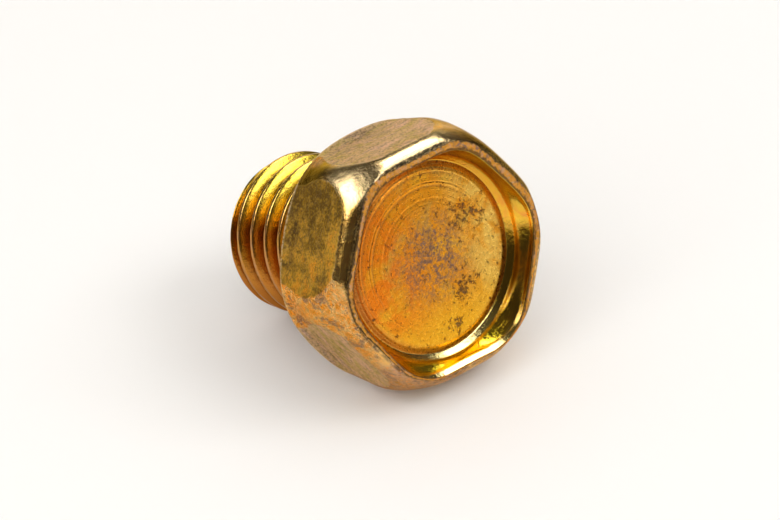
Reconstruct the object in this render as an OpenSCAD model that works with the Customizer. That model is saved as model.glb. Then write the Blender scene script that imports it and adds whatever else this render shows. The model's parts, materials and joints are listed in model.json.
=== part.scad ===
// Float bowl screw: a short cold-headed screw with an indented hexagon head.
// One piece of steel. Millimetres, +Z up.
// The screw lies as it comes to rest: the seat's edge below one flat and the
// end of the full thread touch the ground. The origin is the centre of the
// seat under the head, and the head faces +X.

/* [Head] */
// Width across the flats
across_flats = 9.4; // [7.8:0.1:13]
// Height of the head, from the seat to the rim
head_height = 3.75; // [3.2:0.05:6.4]
// How far the rounded corners fall short of a sharp hexagon's
corner_rounding = 0.2; // [0.1:0.05:0.4]
// Radius of the rounding from a corner up to the rim
shoulder_radius = 3.6; // [2.6:0.1:5]

/* [Seat] */
// How far the seat's edge stands out from the middle of each flat
seat_lip = 0.08; // [0.02:0.02:0.2]
// How much further the seat's edge stands out where it is round
seat_bulge = 0.24; // [0.1:0.02:0.32]
// Height of the upright edge of the seat
seat_edge = 0.08; // [0.04:0.02:0.2]
// Height of the flare from the seat's edge to the flats
flare_height = 0.32; // [0.16:0.02:0.8]

/* [Rim] */
// How far the straight sides of the rim lie inside the flats
rim_setback = 0.4; // [0.25:0.05:0.6]
// How far the round corners of the rim lie inside the head's corners
rim_corner_setback = 0.68; // [0.48:0.02:0.8]
// Width of the land on the rim
rim_width = 0.22; // [0.16:0.02:0.48]
// Slope of the bevel between a flat and the rim, in degrees
bevel_angle = 52; // [40:1:65]

/* [Recess] */
// Depth of the recess, from the rim to its floor
recess_depth = 0.75; // [0.4:0.05:1.4]
// How far the recess narrows from its mouth to the foot of its wall
wall_slope = 0.25; // [0.05:0.05:0.4]
// Width of the groove round the floor
groove_width = 0.24; // [0.08:0.02:0.48]
// Depth of the groove round the floor
groove_depth = 0.2; // [0.1:0.05:0.4]

/* [Shank] */
// Outer diameter of the thread
thread_diameter = 6.35; // [4:0.05:7.2]
// Length of the shank, from the seat to its end
shank_length = 6.35; // [4.75:0.05:25]
// Size of the chamfer at the end of the shank
tip_chamfer = 0.4; // [0.25:0.05:1]
// Radius of the fillet between the seat and the shank
neck_fillet = 0.24; // [0.08:0.02:0.32]

/* [Hidden] */
$fn = 96;
hexagon_sides = 6;
half_side_angle = 180 / hexagon_sides;
// Extra length of a cut past the surface that it opens
past = 1;

flat_r = across_flats / 2;
corner_r = flat_r / cos(half_side_angle) - corner_rounding;
seat_flat_r = flat_r + seat_lip;
seat_r = seat_flat_r + seat_bulge;
flare_top = seat_edge + flare_height;

// The shoulder's arc rises upright from a corner and ends at the rim's corner
rim_flat_r = flat_r - rim_setback;
rim_corner_r = corner_r - rim_corner_setback;
shoulder_r = corner_r - shoulder_radius;
shoulder_z = head_height - sqrt(pow(shoulder_radius, 2) - pow(rim_corner_r - shoulder_r, 2));

// The recess is six-sided at its mouth, inside the rim, and round at its groove
mouth_flat_r = rim_flat_r - rim_width;
mouth_corner_r = rim_corner_r - rim_width;
groove_r = mouth_flat_r - wall_slope;
floor_r = groove_r - groove_width;
groove_z = head_height - recess_depth - groove_depth;

thread_r = thread_diameter / 2;
full_thread_z = tip_chamfer - shank_length;

// At rest, a line from the seat's edge to the end of the full thread lies on the ground
lean = atan((seat_flat_r - thread_r) / -full_thread_z);

// Six-sided prism with a flat towards +X
module hexagon_prism(apothem, z_from, z_to) {
    translate([0, 0, z_from])
        rotate(half_side_angle)
            cylinder(r = apothem / cos(half_side_angle), h = z_to - z_from, $fn = hexagon_sides);
}

// Half section of the rounded envelope that limits the hexagon's corners
module corner_section() {
    intersection() {
        polygon([
            [0, 0], [seat_r, 0], [seat_r, seat_edge], [corner_r, flare_top],
            [corner_r, head_height], [0, head_height]
        ]);
        union() {
            square([corner_r, shoulder_z]);
            square([shoulder_r, head_height]);
            translate([shoulder_r, shoulder_z]) circle(r = shoulder_radius);
        }
    }
}

// Half section of the flare that joins the flats to the round edge of the seat
module flare_section() {
    polygon([[0, 0], [seat_r, 0], [seat_r, seat_edge], [flat_r, flare_top], [0, flare_top]]);
}

// Six sloped cuts that leave straight sides on the rim
module rim_bevels() {
    for (k = [0 : hexagon_sides - 1])
        rotate(360 / hexagon_sides * k)
            translate([rim_flat_r, 0, head_height])
                rotate([0, bevel_angle, 0])
                    translate([0, -corner_r, 0])
                        cube([corner_r, 2 * corner_r, head_height]);
}

// Half section of the raised floor, with its edge rounded down into the groove
module floor_section() {
    translate([0, groove_z - past]) square([floor_r, past]);
    translate([0, groove_z - past]) square([floor_r - groove_depth, groove_depth + past]);
    translate([floor_r - groove_depth, groove_z]) circle(r = groove_depth);
}

// Half section of the recess: a sloped wall and a groove round the raised floor
module recess_section() {
    difference() {
        polygon([
            [0, groove_z], [groove_r, groove_z], [mouth_corner_r, head_height],
            [mouth_corner_r, head_height + past], [0, head_height + past]
        ]);
        floor_section();
    }
}

module recess() {
    intersection() {
        rotate_extrude() recess_section();
        hexagon_prism(mouth_flat_r, groove_z - past, head_height + past);
    }
}

module head() {
    difference() {
        union() {
            intersection() {
                hexagon_prism(flat_r, 0, head_height);
                rotate_extrude() corner_section();
            }
            intersection() {
                hexagon_prism(seat_flat_r, 0, flare_top);
                rotate_extrude() flare_section();
            }
        }
        rim_bevels();
        recess();
    }
}

// Half section of the fillet between the seat and the shank
module fillet_section() {
    difference() {
        translate([0, -neck_fillet]) square([thread_r + neck_fillet, neck_fillet]);
        translate([thread_r + neck_fillet, -neck_fillet]) circle(r = neck_fillet);
    }
}

// Shank at the thread's outer diameter, from inside the head to its chamfered end
module shank() {
    translate([0, 0, full_thread_z]) cylinder(r = thread_r, h = groove_z / 2 - full_thread_z);
    translate([0, 0, -shank_length]) cylinder(r1 = thread_r - tip_chamfer, r2 = thread_r, h = tip_chamfer);
    rotate_extrude() fillet_section();
}

// The whole screw, laid down with one flat towards the ground
module screw() {
    color("goldenrod")
        rotate([0, 90 - lean, 0])
            union() {
                head();
                shank();
            }
}

screw();
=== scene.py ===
# %% [markdown]
# # Float bowl screw
# This lesson dresses one small screw: a short cold-headed hexagon screw with a dished head, plated with
# zinc and a yellow chromate film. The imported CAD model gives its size, its place and the way it lies. We
# model the skin once more with the soft edges and the rolled thread of the real screw, and then give it
# its worn gold finish.

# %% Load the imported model
import json
import math

import bmesh
import bpy
from mathutils import Matrix, Vector


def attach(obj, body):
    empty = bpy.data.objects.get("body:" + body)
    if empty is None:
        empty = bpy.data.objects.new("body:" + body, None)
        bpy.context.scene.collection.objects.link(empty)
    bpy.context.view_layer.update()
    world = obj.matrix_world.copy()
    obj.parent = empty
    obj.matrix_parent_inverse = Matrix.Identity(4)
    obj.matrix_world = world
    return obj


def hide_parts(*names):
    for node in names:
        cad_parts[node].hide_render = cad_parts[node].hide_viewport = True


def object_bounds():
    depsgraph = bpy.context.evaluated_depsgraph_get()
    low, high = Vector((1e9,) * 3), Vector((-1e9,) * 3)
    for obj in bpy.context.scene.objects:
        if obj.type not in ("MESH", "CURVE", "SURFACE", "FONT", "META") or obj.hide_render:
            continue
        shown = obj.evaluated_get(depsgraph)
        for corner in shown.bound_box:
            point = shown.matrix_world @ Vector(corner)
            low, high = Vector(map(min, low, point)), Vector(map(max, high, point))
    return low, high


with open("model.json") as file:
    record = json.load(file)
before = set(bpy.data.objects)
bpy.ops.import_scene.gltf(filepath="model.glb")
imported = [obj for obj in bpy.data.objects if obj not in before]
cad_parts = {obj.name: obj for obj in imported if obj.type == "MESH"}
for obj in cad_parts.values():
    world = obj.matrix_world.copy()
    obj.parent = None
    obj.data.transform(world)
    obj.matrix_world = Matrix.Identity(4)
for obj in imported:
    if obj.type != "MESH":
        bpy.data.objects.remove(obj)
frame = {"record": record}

cad_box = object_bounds()
print("CAD box", cad_box)

# %% [markdown]
# ## Sizes
# The screw stands on its seat in its own drawing: its axis is Z, the seat under the head is at zero, the
# dish faces up and the shank points down. All sizes are millimetres in that drawing. The thread's radius
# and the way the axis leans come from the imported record, so the skin always lies where the CAD screw
# lies.

# %% Sizes of the screw in its own drawing
MM = 0.001

mounts = {mount["name"]: mount for mount in frame["record"]["mounts"]}
screw_axis = -Vector(mounts["seat"]["axis"])
lean = math.atan2(screw_axis.z, screw_axis.x)

THREAD_R = mounts["thread"]["dims"]["r_mm"]
SHANK_LENGTH = 6.35

HEAD_SIDES = 6
HALF_SIDE = math.pi / HEAD_SIDES
HEAD_HEIGHT = 3.75
FLAT_R = 4.7
CORNER_ROUNDING = 0.2
CORNER_R = FLAT_R / math.cos(HALF_SIDE) - CORNER_ROUNDING
RIM_SETBACK = 0.4
RIM_FLAT_R = FLAT_R - RIM_SETBACK
RIM_CORNER_SETBACK = 0.68
RIM_CORNER_R = CORNER_R - RIM_CORNER_SETBACK

print("axis leans", round(math.degrees(lean), 2), "degrees, thread radius", THREAD_R, "mm")

# %% [markdown]
# ## Growing a skin ring by ring
# The screw is nearly a turned part, but its head is six-sided and its thread climbs, so a plain spin
# can't make it. We start from one circle at the tip and extrude that ring again and again. After each
# extrusion every new vertex is moved to the radius and height that the section's formula gives for its
# angle. The skin stays one closed surface from the tip to the middle of the dish, with no seams to weld.

# %% Ring growing helpers
SEGMENTS = 288


def grow(mesh, ring, place, finish):
    """Extrudes an open ring of edges and puts each new vertex at the radius and height for its angle."""
    grown = bmesh.ops.extrude_edge_only(mesh, edges=ring)["geom"]
    verts = {item for item in grown if isinstance(item, bmesh.types.BMVert)}
    for vert in verts:
        angle = math.atan2(vert.co.y, vert.co.x)
        radius, height = place(angle)
        vert.co = (radius * math.cos(angle), radius * math.sin(angle), height)
    for item in grown:
        if isinstance(item, bmesh.types.BMFace):
            item.material_index = finish
    edges = [item for item in grown if isinstance(item, bmesh.types.BMEdge)]
    return [edge for edge in edges if all(vert in verts for vert in edge.verts)]


def loft(mesh, ring, section, steps, finish):
    """Grows a ring along a section, which gives (radius, height) for an angle and a share of the way."""
    for step in range(1, steps + 1):
        ring = grow(mesh, ring, lambda angle: section(angle, step / steps), finish)
    return ring


def mix(low, high, share):
    """Runs from low to high with a share."""
    return low + (high - low) * share


def ease(share):
    """Runs from 0 to 1 with a soft start and a soft end."""
    share = min(max(share, 0.0), 1.0)
    return share * share * (3 - 2 * share)


def soft_min(first, second, blend):
    """The smaller of two radii, with the edge where they meet rounded over the blend."""
    near = max(blend - abs(first - second), 0.0) / blend
    return min(first, second) - near * near * blend / 4


print("rings have", SEGMENTS, "vertices")

# %% [markdown]
# ## Tip and thread
# The thread is rolled: its crests are pressed up out of the blank, so crests and roots are rounded. It
# has 28 threads to the inch and is right-handed. A thread could be a spun profile with a step along the
# axis, but its ends would then have to be stitched to the tip and the neck. Here the height of the thread
# is a formula of angle and height, so it runs out smoothly at both ends.

# %% Tip and thread sections
INCH = 25.4
THREADS_PER_INCH = 28
PITCH = INCH / THREADS_PER_INCH
DEPTH_PER_PITCH = 0.61
THREAD_DEPTH = DEPTH_PER_PITCH * PITCH
THREAD_START = 0.4
CREST_SHARE = 0.16
ROOT_SHARE = 0.2
FLANK_SOFTNESS = 0.35
RUN_OUT = 0.3
NECK_FILLET = 0.24
NECK_R = THREAD_R - THREAD_DEPTH / 2
TIP_CHAMFER = 0.4
CHAMFER_BLEND = 0.12
TIP_R = THREAD_R - TIP_CHAMFER
TIP_DISH = 0.12
TIP_START_R = 0.04


def thread_radius(angle, height):
    """Radius of the rolled thread at an angle and a height."""
    turn = height / PITCH - angle / (2 * math.pi) - THREAD_START
    from_crest = abs((turn + 0.5) % 1.0 - 0.5)
    flank = (from_crest - CREST_SHARE / 2) / (0.5 - CREST_SHARE / 2 - ROOT_SHARE / 2)
    straight = min(max(flank, 0.0), 1.0)
    depth = THREAD_DEPTH * mix(straight, ease(flank), FLANK_SOFTNESS)
    return mix(NECK_R, THREAD_R - depth, ease((-NECK_FILLET - height) / RUN_OUT))


def tip_section(angle, share):
    """The sheared end of the blank, slightly dished."""
    return mix(TIP_START_R, TIP_R, share), -SHANK_LENGTH + TIP_DISH * (1 - ease(share))


def thread_section(angle, share):
    """The chamfered first turn and the thread up to the neck."""
    height = mix(-SHANK_LENGTH, -NECK_FILLET, share)
    chamfer = TIP_R + height + SHANK_LENGTH
    return soft_min(chamfer, thread_radius(angle, height), CHAMFER_BLEND), height


def neck_section(angle, share):
    """The fillet from the neck out to the seat."""
    turn = share * math.pi / 2
    return NECK_R + NECK_FILLET * (1 - math.cos(turn)), -NECK_FILLET * (1 - math.sin(turn))


print("pitch", round(PITCH, 4), "mm, depth", round(THREAD_DEPTH, 3), "mm")

# %% [markdown]
# ## Outside of the head
# Cold heading squeezes a round blank into a six-sided die. The flats come out flat, while the corners
# stay round and roll over into the rim in one smooth shoulder. So the side of the head is the smaller of
# three radii: the six flats, the round envelope of the corners and the bevel at the rim, with soft joins.
# At its foot the corners draw in, and the side flares out to the almost round edge of the seat. A hexagon
# with bevelled edges would be quicker, but the real head isn't even. On one side the blank didn't quite
# fill the die, so two corners are rounder there and the flat between them is smaller. The punch swelled
# the rim on another side, and the rim is narrower at the top. In a formula each of these is one more
# term.

# %% Shoulder and corners
SHARE_GAIN = 1.6
SHOULDER_RADIUS = 3.6
SHOULDER_R = CORNER_R - SHOULDER_RADIUS
SHOULDER_Z = HEAD_HEIGHT - math.sqrt(SHOULDER_RADIUS**2 - (RIM_CORNER_R - SHOULDER_R) ** 2)
SHORT_ANGLE = math.radians(-66)
SHORT_SPREAD = math.radians(34)
SHORT_CORNER = 0.2
SHORT_DEPTH = 1.2
FULL_ANGLE = math.radians(80)
FULL_SPREAD = math.radians(80)
FULL_RIM = 0.12
CORNER_DROP = 0.15
DROP_TOP = 1.5
DROP_HEIGHT = 1.2


def side_share(angle, middle, spread):
    """How near an angle is to the middle of a side, from 0 at its spread to 1 well before the middle."""
    away = abs((angle - middle + math.pi) % (2 * math.pi) - math.pi)
    return ease(SHARE_GAIN * (1 - away / spread))


def short_share(angle):
    """How much the blank fell short of the die at an angle."""
    return side_share(angle, SHORT_ANGLE, SHORT_SPREAD)


def rim_swell(angle, height):
    """How far the punch, off the middle of the head, pushed the shoulder out."""
    rise = ease((height - SHOULDER_Z) / (HEAD_HEIGHT - SHOULDER_Z))
    return FULL_RIM * rise * side_share(angle, FULL_ANGLE, FULL_SPREAD)


def corner_envelope(angle, height):
    """Radius of the round envelope that the corners and the shoulder follow."""
    rise = min(max(height - SHOULDER_Z, 0.0), SHOULDER_RADIUS)
    round_r = SHOULDER_R + math.sqrt(SHOULDER_RADIUS**2 - rise**2)
    short = SHORT_CORNER * short_share(angle) * ease((HEAD_HEIGHT - height) / SHORT_DEPTH)
    drop = CORNER_DROP * ease((DROP_TOP - height) / DROP_HEIGHT)
    return round_r - short - drop + rim_swell(angle, height)


print("shoulder starts", round(SHOULDER_Z, 3), "mm above the seat")

# %% Seat sections
SEAT_LIP = 0.08
SEAT_FLAT_R = FLAT_R + SEAT_LIP
SEAT_BULGE = 0.24
SEAT_R = SEAT_FLAT_R + SEAT_BULGE
SEAT_WIDE = 0.1
SEAT_ROUNDING = 0.05
GROUND_SPREAD = math.radians(50)


def seat_outline(angle):
    """Edge of the seat: nearly round, and flattest on the side that lies on the ground."""
    flat = SEAT_FLAT_R + SEAT_WIDE * (1 - side_share(angle, 0, GROUND_SPREAD))
    return mix(flat, SEAT_R, (1 - math.cos(HEAD_SIDES * angle)) / 2)


def seat_section(angle, share):
    """The flat bearing face from the neck's fillet to the rounded edge."""
    return mix(NECK_R + NECK_FILLET, seat_outline(angle) - SEAT_ROUNDING, share), 0.0


def seat_edge_section(angle, share):
    """The rounded lower edge of the seat."""
    turn = share * math.pi / 2
    inside = SEAT_ROUNDING * (1 - math.sin(turn))
    return seat_outline(angle) - inside, SEAT_ROUNDING * (1 - math.cos(turn))


print("seat is", round(2 * SEAT_R, 2), "mm across at the corners")

# %% Side of the head
EDGE_BLEND = 0.16
SEAT_EDGE = 0.08
FLARE_HEIGHT = 0.32
FLARE_TOP = SEAT_EDGE + FLARE_HEIGHT
BEVEL_HEIGHT = 0.72
BEVEL_WIDTH = 0.43
SHORT_BEVEL = 0.6
NARROW_ANGLE = math.radians(197)
NARROW_SPREAD = math.radians(88)
NARROW_RIM = 0.14
RIM_ROLL = 0.03
RIM_Z = HEAD_HEIGHT - RIM_ROLL
RING_CROWDING = 1.5


def fold(angle):
    """Angle from the middle of the nearest flat."""
    return (angle + HALF_SIDE) % (2 * HALF_SIDE) - HALF_SIDE


def side_limits(angle, height):
    """Radii of the flat, the corner envelope and the rim's bevel."""
    facing = math.cos(fold(angle))
    bevel_height = BEVEL_HEIGHT + SHORT_BEVEL * short_share(angle)
    rise = min(max(1 - (RIM_Z - height) / bevel_height, 0.0), 1.0)
    narrow = NARROW_RIM * side_share(angle, NARROW_ANGLE, NARROW_SPREAD)
    bevel_width = (BEVEL_WIDTH + narrow) * math.sqrt(1 - rise * rise)
    bevel = RIM_FLAT_R - narrow + bevel_width + rim_swell(angle, height)
    return FLAT_R / facing, corner_envelope(angle, height), bevel / facing


def side_radius(angle, height):
    """Radius of the head's side, with its edges softened and its foot flared."""
    flat, corner, bevel = side_limits(angle, height)
    side = soft_min(soft_min(flat, corner, EDGE_BLEND), bevel, EDGE_BLEND)
    return mix(seat_outline(angle), side, ease((height - SEAT_EDGE) / FLARE_HEIGHT))


def side_section(angle, share):
    """The flats, corners and shoulder, with more rings towards the rim."""
    height = mix(SEAT_ROUNDING, RIM_Z, 1 - (1 - share) ** RING_CROWDING)
    return side_radius(angle, height), height


print("flats are", 2 * FLAT_R, "mm apart, and the flare ends", round(FLARE_TOP, 2), "mm above the seat")

# %% [markdown]
# ## Rim and dish
# The punch that makes the dish leaves a narrow land round it, a steep wall, a groove and a raised round
# floor whose edge is rolled down. The mouth still follows the six sides, and the groove is round, so the
# wall blends from one to the other on the way down. The punch sat a little off the middle: on the low
# side the land is narrower, and the mouth's edge is pressed into a small facet.

# %% Rim section
RIM_WIDTH = 0.2
RIM_LEAST = 0.07
CROWN_POWER = 3
MOUTH_FLAT_R = RIM_FLAT_R - RIM_WIDTH
MOUTH_CORNER_R = RIM_CORNER_R - RIM_WIDTH
MOUTH_BLEND = 0.3
PUNCH_SHIFT = 0.2
PUNCH_ANGLE = math.radians(15)


def rim_outline(angle):
    """Outer edge of the land."""
    return side_radius(angle, RIM_Z)


def mouth_outline(angle):
    """Edge of the dish. The punch sat a little off the middle of the head."""
    mouth = soft_min(MOUTH_FLAT_R / math.cos(fold(angle)), MOUTH_CORNER_R, MOUTH_BLEND)
    mouth += PUNCH_SHIFT * math.cos(angle - PUNCH_ANGLE)
    return min(mouth, rim_outline(angle) - RIM_LEAST)


def rim_section(angle, share):
    """The land, slightly crowned, so that it rolls over at both edges."""
    dip = RIM_ROLL * abs(2 * share - 1) ** CROWN_POWER
    return mix(rim_outline(angle), mouth_outline(angle), share), HEAD_HEIGHT - dip


print("mouth is", round(2 * MOUTH_FLAT_R, 2), "mm across its sides")

# %% Dish sections
DISH_DEPTH = 0.75
FLOOR_Z = HEAD_HEIGHT - DISH_DEPTH
GROOVE_DEPTH = 0.2
GROOVE_Z = FLOOR_Z - GROOVE_DEPTH
GROOVE_SETBACK = 0.47
GROOVE_R = RIM_FLAT_R - GROOVE_SETBACK
GROOVE_WIDTH = 0.24
FLOOR_R = GROOVE_R - GROOVE_WIDTH
GROOVE_MIDDLE_R = (GROOVE_R + FLOOR_R) / 2
GROOVE_SLOPE = 0.24
GROOVE_CURVE = 0.85
FACET = 0.17
FACET_LEAST = 0.02
FACET_SPREAD = math.radians(38)
FLOOR_ROLL = 0.26
ROLL_CURVE = 1.4
LEVEL_FLOOR_R = FLOOR_R - FLOOR_ROLL
FLOOR_CROWN = 0.03
FLOOR_END_R = 0.04


def wall_points(angle):
    """Mouth, foot of the facet, foot of the steep wall and bottom of the groove."""
    mouth = mouth_outline(angle)
    facet = mix(FACET_LEAST, FACET, side_share(angle, 0, FACET_SPREAD))
    foot = min(GROOVE_MIDDLE_R + GROOVE_SLOPE, mouth - facet)
    wall_foot = (foot, GROOVE_Z + GROOVE_SLOPE)
    return [(mouth, RIM_Z), (mouth - facet, RIM_Z - facet), wall_foot, (GROOVE_MIDDLE_R, GROOVE_Z)]


def facet_section(angle, share):
    """The edge of the mouth, which the punch tilted inwards on one side."""
    (radius, height), (end_radius, end_height) = wall_points(angle)[0:2]
    return mix(radius, end_radius, share), mix(height, end_height, share)


def wall_section(angle, share):
    """The steep wall."""
    (radius, height), (end_radius, end_height) = wall_points(angle)[1:3]
    return mix(radius, end_radius, ease(share)), mix(height, end_height, share)


def groove_section(angle, share):
    """The slope from the foot of the wall into the groove."""
    (radius, height), (end_radius, end_height) = wall_points(angle)[2:4]
    return mix(radius, end_radius, share), mix(height, end_height, share**GROOVE_CURVE)


def roll_section(angle, share):
    """The floor's edge, rolled up out of the groove."""
    rise = math.sin(share * math.pi / 2) ** ROLL_CURVE
    return mix(GROOVE_MIDDLE_R, LEVEL_FLOOR_R, share), mix(GROOVE_Z, FLOOR_Z - FLOOR_CROWN, rise)


def floor_section(angle, share):
    """The floor, slightly crowned, up to a small hole in its middle."""
    radius = mix(LEVEL_FLOOR_R, FLOOR_END_R, share)
    return radius, FLOOR_Z - FLOOR_CROWN * (radius / LEVEL_FLOOR_R) ** 2


print("floor is", round(2 * FLOOR_R, 2), "mm across and", DISH_DEPTH, "mm below the rim")

# %% [markdown]
# ## One closed skin
# Now the sections are grown one after the other, each with the number of the finish that its faces wear.
# The small holes that are left at the tip and in the middle of the floor are filled and poked, so the
# skin is closed. A vertex attribute keeps how much of a flat each point belongs to: the flats are matte
# and the corners are polished by the die, and the border between them is too soft to follow the edges of
# faces. Two more keep how far a point is up the thread and across the land of the rim.

# %% Shares that the finishes need
FLAT_FADE = 0.12


def flat_share(point):
    """How much of a flat a point of the head's side is, from 0 to 1."""
    height = max(point.z, FLARE_TOP)
    flat, corner, bevel = side_limits(math.atan2(point.y, point.x), height)
    return ease((min(corner, bevel) - flat) / FLAT_FADE + 0.5)


def land_share(point):
    """How far a point is across the land, from 0 at its outer edge to 1 at the mouth."""
    angle = math.atan2(point.y, point.x)
    outer = rim_outline(angle)
    return (outer - point.xy.length) / (outer - mouth_outline(angle))


def keep_shares(mesh):
    """Keeps on each vertex how much of a flat it is, and how far up the thread and across the land."""
    flats = mesh.verts.layers.float.new("flat_share")
    rises = mesh.verts.layers.float.new("thread_rise")
    lands = mesh.verts.layers.float.new("land_share")
    for vert in mesh.verts:
        vert[flats] = flat_share(vert.co) if vert.co.z > 0 else 0.0
        vert[rises] = 1 - (THREAD_R - vert.co.xy.length) / THREAD_DEPTH
        vert[lands] = land_share(vert.co)


print("flats fade into the corners over", FLAT_FADE, "mm")

# %% Grow the skin
THREAD, HEAD, RIM, WALL, FLOOR = range(5)
MERGE_DISTANCE = 0.0001
SECTIONS = [
    (tip_section, 10, THREAD),
    (thread_section, 168, THREAD),
    (neck_section, 6, THREAD),
    (seat_section, 6, HEAD),
    (seat_edge_section, 4, HEAD),
    (side_section, 44, HEAD),
    (rim_section, 6, RIM),
    (facet_section, 3, WALL),
    (wall_section, 7, WALL),
    (groove_section, 5, WALL),
    (roll_section, 8, FLOOR),
    (floor_section, 14, FLOOR),
]


def close_end(mesh, ring, finish):
    """Fills the small round hole inside a ring with a fan of triangles."""
    filled = bmesh.ops.edgeloop_fill(mesh, edges=ring, mat_nr=finish)["faces"]
    bmesh.ops.poke(mesh, faces=filled)


def screw_skin():
    """The whole screw as one closed mesh, in millimetres in its own drawing."""
    mesh = bmesh.new()
    bmesh.ops.create_circle(mesh, segments=SEGMENTS, radius=TIP_START_R)
    bmesh.ops.translate(mesh, verts=mesh.verts, vec=(0, 0, -SHANK_LENGTH + TIP_DISH))
    first = list(mesh.edges)
    ring = first
    for section, steps, finish in SECTIONS:
        ring = loft(mesh, ring, section, steps, finish)
    close_end(mesh, first, THREAD)
    close_end(mesh, ring, FLOOR)
    keep_shares(mesh)
    bmesh.ops.remove_doubles(mesh, verts=mesh.verts, dist=MERGE_DISTANCE)
    bmesh.ops.recalc_face_normals(mesh, faces=mesh.faces)
    return mesh


skin = screw_skin()
print("skin has", len(skin.verts), "vertices and", len(skin.faces), "faces")

# %% [markdown]
# ## Laying the screw down
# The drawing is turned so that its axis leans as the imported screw's does, and scaled to metres. The turn
# goes into the mesh and the object stays at the origin, which keeps every pattern on Object coordinates
# in its place. The skin is a hair smaller than its drawing, because the round parts of the CAD screw have
# short flat sides.

# %% Make the screw object
SKIN_SHARE = 0.9995
turn_to_rest = Matrix.Rotation(math.pi / 2 - lean, 4, "Y")
bmesh.ops.transform(skin, matrix=turn_to_rest @ Matrix.Scale(MM * SKIN_SHARE, 4), verts=skin.verts)
for face in skin.faces:
    face.smooth = True
screw_data = bpy.data.meshes.new("plated_screw")
skin.to_mesh(screw_data)
skin.free()
plated_screw = bpy.data.objects.new("plated_screw", screw_data)
bpy.context.collection.objects.link(plated_screw)
print("screw measures", [round(size / MM, 2) for size in plated_screw.dimensions], "mm")

# %% [markdown]
# ## Node helpers
# Every finish needs the same first step: the Object coordinates are turned back into the screw's own
# drawing and scaled to millimetres, so that a ring pattern can lie round the axis and a noise scale is
# per millimetre.

# %% Node helpers
EDGE_TINT = (0.72, 0.54, 0.32, 1.0)


def add_node(tree, kind, **settings):
    """Adds a node and sets its properties."""
    node = tree.nodes.new(kind)
    for name, value in settings.items():
        setattr(node, name, value)
    return node


def set_inputs(node, **values):
    """Sets inputs by name, with spaces written as underscores."""
    for name, value in values.items():
        node.inputs[name.replace("_", " ")].default_value = value
    return node


def drawing_place(tree):
    """Coordinates in the screw's own drawing, in millimetres."""
    place = add_node(tree, "ShaderNodeTexCoord")
    turn = add_node(tree, "ShaderNodeMapping")
    set_inputs(turn, Rotation=(0, lean - math.pi / 2, 0), Scale=(1 / MM, 1 / MM, 1 / MM))
    tree.links.new(place.outputs["Object"], turn.inputs["Vector"])
    return turn.outputs["Vector"]


def new_finish(name):
    """A material with its Principled shader, ready for its nodes."""
    material = bpy.data.materials.new(name)
    material.use_nodes = True
    tree = material.node_tree
    shader = tree.nodes["Principled BSDF"]
    set_inputs(shader, Metallic=1.0, Specular_Tint=EDGE_TINT)
    return material, tree, shader


print("node helpers ready")

# %% [markdown]
# ## Shared effects
# Yellow chromate is a thin clear film over zinc. Its colour depends on how thick it grew, so gold runs
# into olive, orange and violet without any edge. The film's clouds of colour, fine grit and scattered
# specks come back from finish to finish, so each is a node group, and so are the small pits of the head.
# The groups put out colours and masks only, and each finish places them with its own scale and amount.

# %% Helpers for effect nodes
MIX_SHARE, MIX_FIRST, MIX_SECOND = 0, 6, 7
MIX_COLOUR = 2


def feed(tree, value, socket):
    """Links a socket to an input, or sets the input to a plain value."""
    if isinstance(value, bpy.types.NodeSocket):
        tree.links.new(value, socket)
    else:
        socket.default_value = value


def noise_value(tree, place, scale, detail=3.0, roughness=0.55, distortion=0.0):
    """Fractal noise at a scale per millimetre."""
    texture = add_node(tree, "ShaderNodeTexNoise")
    set_inputs(texture, Detail=detail, Roughness=roughness, Distortion=distortion)
    tree.links.new(place, texture.inputs["Vector"])
    feed(tree, scale, texture.inputs["Scale"])
    return texture.outputs["Fac"]


def span(tree, value, low, high, start=0.0, end=1.0):
    """Maps the range from low to high softly onto start to end, and holds it there."""
    node = add_node(tree, "ShaderNodeMapRange", interpolation_type="SMOOTHSTEP")
    for name, item in (("Value", value), ("From Min", low), ("From Max", high)):
        feed(tree, item, node.inputs[name])
    set_inputs(node, To_Min=start, To_Max=end)
    return node.outputs["Result"]


def between(tree, share, start, end):
    """Runs softly from start to end as a share runs from 0 to 1."""
    return span(tree, share, 0.0, 1.0, start, end)


def maths(tree, operation, first, second=0.0):
    """One step of arithmetic on two values."""
    node = add_node(tree, "ShaderNodeMath", operation=operation)
    feed(tree, first, node.inputs[0])
    feed(tree, second, node.inputs[1])
    return node.outputs["Value"]


def times(tree, first, second):
    """The product of two values."""
    return maths(tree, "MULTIPLY", first, second)


def tint(tree, share, first, second):
    """Mixes two colours by a share from 0 to 1."""
    node = add_node(tree, "ShaderNodeMix", data_type="RGBA")
    feed(tree, share, node.inputs[MIX_SHARE])
    feed(tree, first, node.inputs[MIX_FIRST])
    feed(tree, second, node.inputs[MIX_SECOND])
    return node.outputs[MIX_COLOUR]


def rgb(red, green, blue):
    """A colour with full alpha."""
    return (red, green, blue, 1.0)


print("effect helpers ready")

# %% Start and end of a node group


def new_effect(name, numbers, colours=()):
    """An empty node group with a Place input, number inputs and colour inputs."""
    group = bpy.data.node_groups.new(name, "ShaderNodeTree")
    group.interface.new_socket("Place", in_out="INPUT", socket_type="NodeSocketVector")
    for number in numbers:
        group.interface.new_socket(number, in_out="INPUT", socket_type="NodeSocketFloat")
    for colour in colours:
        group.interface.new_socket(colour, in_out="INPUT", socket_type="NodeSocketColor")
    return group, add_node(group, "NodeGroupInput")


def end_effect(group, name, value, kind):
    """Puts a value out of a node group under a name."""
    group.interface.new_socket(name, in_out="OUTPUT", socket_type=kind)
    out = add_node(group, "NodeGroupOutput")
    group.links.new(value, out.inputs[name])


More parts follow.
